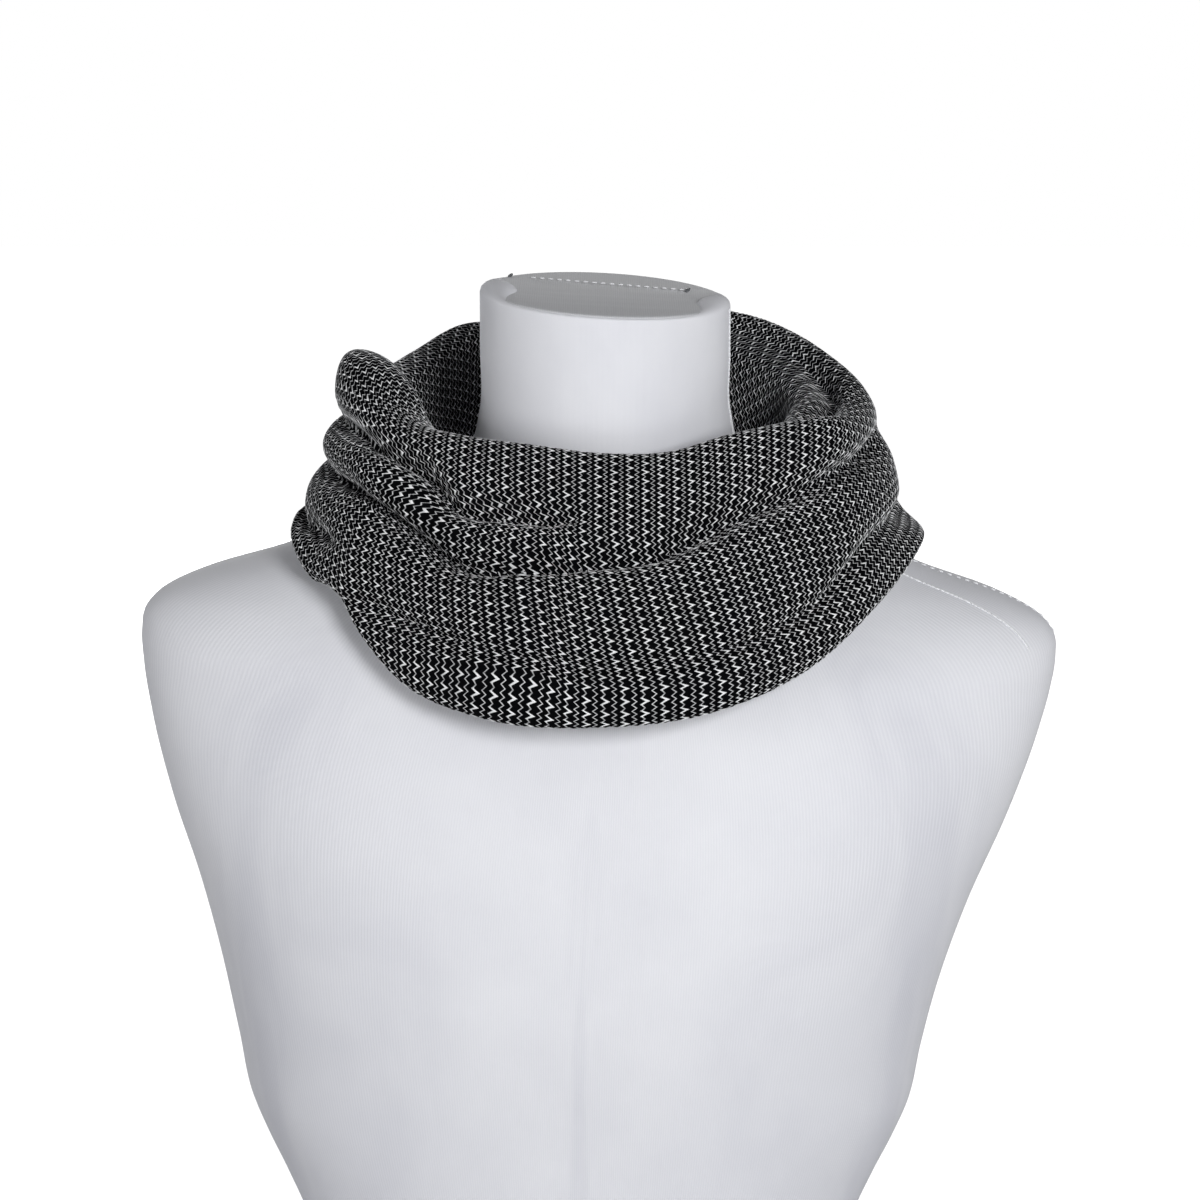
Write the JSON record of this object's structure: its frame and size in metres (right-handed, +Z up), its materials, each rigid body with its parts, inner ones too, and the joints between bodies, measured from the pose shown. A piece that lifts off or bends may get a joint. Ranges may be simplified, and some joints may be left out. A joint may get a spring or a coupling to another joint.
{
  "type": "infinity scarf on a dress form",
  "caption": "Knitted infinity scarf draped in soft horizontal folds round the neck of a smooth limbless dress form with a flat waist.",
  "frame": {"origin": "on the form's flat waist face, on the neck's axis", "axes": "+Z up from the waist to the neck, -Y out of the form's front, +X to the right of someone who looks at the front"},
  "size_m": [0.454, 0.2787, 0.5037],
  "materials": {
    "two_colour_knit": "soft matt wool knit in black with white rows of stitches",
    "white_jersey": "smooth matt stretched jersey",
    "grey_jersey": "smooth matt jersey"
  },
  "bodies": {
    "root": {"scarf_loop": "two_colour_knit", "form_torso": "white_jersey", "form_neck_cap": "grey_jersey"}
  },
  "joints": []
}
